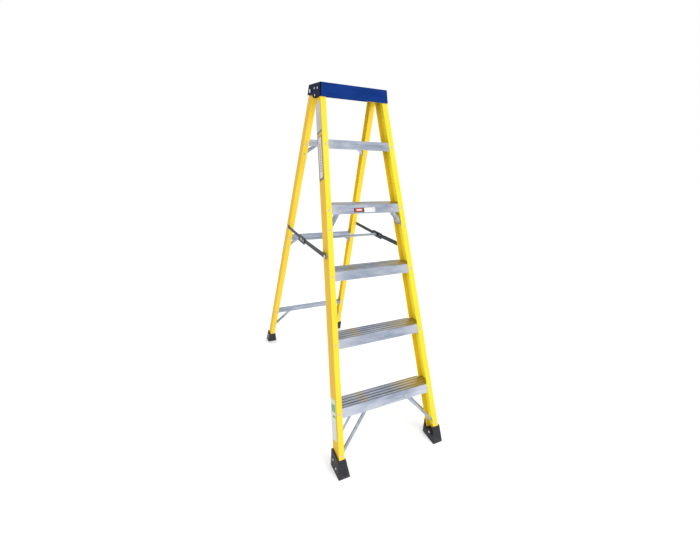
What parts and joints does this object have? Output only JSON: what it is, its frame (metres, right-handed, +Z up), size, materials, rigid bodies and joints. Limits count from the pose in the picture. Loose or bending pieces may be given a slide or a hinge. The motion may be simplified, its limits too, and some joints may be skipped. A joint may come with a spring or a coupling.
{
  "type": "folding step ladder",
  "caption": "Free-standing folding ladder with yellow channel rails, ribbed flat treads, a moulded blue top cap, spreader braces and rubber feet.",
  "frame": {"origin": "on the floor, in the middle of the open ladder's footprint", "axes": "+Z is up, the climbing side faces -Y, +X is to the climber's right"},
  "size_m": [0.5722, 1.3131, 1.667],
  "materials": {
    "front_rail": "smooth pultruded glass-fibre channel, bright yellow, faint lengthwise fibres",
    "rear_rail": "smooth pultruded glass-fibre channel, bright yellow, faint lengthwise fibres",
    "cap": "moulded dark blue plastic with a fine texture",
    "step": "mill-finish extruded aluminium with a ribbed tread",
    "brace": "mill-finish aluminium strip",
    "rear_bar": "mill-finish aluminium channel and strip",
    "spreader": "dark zinc-plated steel strip",
    "tie_bar": "drawn aluminium tube",
    "foot": "moulded charcoal rubber with a grooved sole",
    "rivet": "bright domed rivet heads",
    "bolt": "zinc-plated bolts, pins and nuts",
    "rail_label": "pale printed sticker, no lettering",
    "step_label": "printed sticker in blocks of colour, no lettering"
  },
  "bodies": {
    "front_frame": {"front_rail_left": "front_rail", "front_rail_right": "front_rail", "top_cap": "cap", "step_1": "step", "step_2": "step", "step_3": "step", "step_4": "step", "step_5": "step", "lower_front_brace_left": "brace", "lower_front_brace_right": "brace", "lower_rear_brace_left": "brace", "lower_rear_brace_right": "brace", "upper_front_brace_left": "brace", "upper_front_brace_right": "brace", "front_foot_left": "foot", "front_foot_right": "foot", "cap_rivets": "rivet", "front_brace_rivets": "rivet", "front_foot_rivets": "rivet", "step_front_rivets": "rivet", "step_rear_rivets": "rivet", "front_pins": "bolt", "front_pin_nuts": "bolt", "front_pin_bushes": "bolt", "pivot_bolts": "bolt", "pivot_nuts": "bolt", "label_upper": "rail_label", "label_middle": "rail_label", "label_lower": "rail_label", "label_step": "step_label"},
    "rear_frame": {"rear_rail_left": "rear_rail", "rear_rail_right": "rear_rail", "rear_bar_lower": "rear_bar", "rear_bar_middle": "rear_bar", "rear_bar_upper": "rear_bar", "rear_strip_lower_left": "rear_bar", "rear_strip_lower_right": "rear_bar", "rear_strip_middle_left": "rear_bar", "rear_strip_middle_right": "rear_bar", "rear_strip_upper_left": "rear_bar", "rear_strip_upper_right": "rear_bar", "rear_foot_left": "foot", "rear_foot_right": "foot", "rear_bar_rivets": "rivet", "rear_foot_rivets": "rivet", "rear_strip_rivets": "rivet"},
    "front_spreader": {"front_arm_left": "spreader", "front_arm_right": "spreader", "tie_bar": "tie_bar", "lock_plate_left": "spreader", "lock_plate_right": "spreader", "hinge_pins": "bolt"},
    "rear_spreader": {"rear_arm_left": "spreader", "rear_arm_right": "spreader", "rear_pins": "bolt"}
  },
  "joints": [
    {"name": "rear_fold", "type": "hinge", "parent": "front_frame", "child": "rear_frame", "pos_m": [0, 0.08914, 1.636], "axis": [1, 0, 0], "range_deg": [-39.1, 0]},
    {"name": "front_arm_swing", "type": "hinge", "parent": "front_frame", "child": "front_spreader", "pos_m": [0, -0.28128, 0.91228], "axis": [1, 0, 0], "range_deg": [0, 60]},
    {"name": "spreader_hinge", "type": "hinge", "parent": "front_spreader", "child": "rear_spreader", "pos_m": [0, 0.0461, 0.90941], "axis": [1, 0, 0], "range_deg": [-168, 0]}
  ],
  "couplings": [
    {"joint": "front_arm_swing", "follows": "rear_fold", "ratio": -1.5304},
    {"joint": "spreader_hinge", "follows": "rear_fold", "ratio": 4.2775}
  ]
}
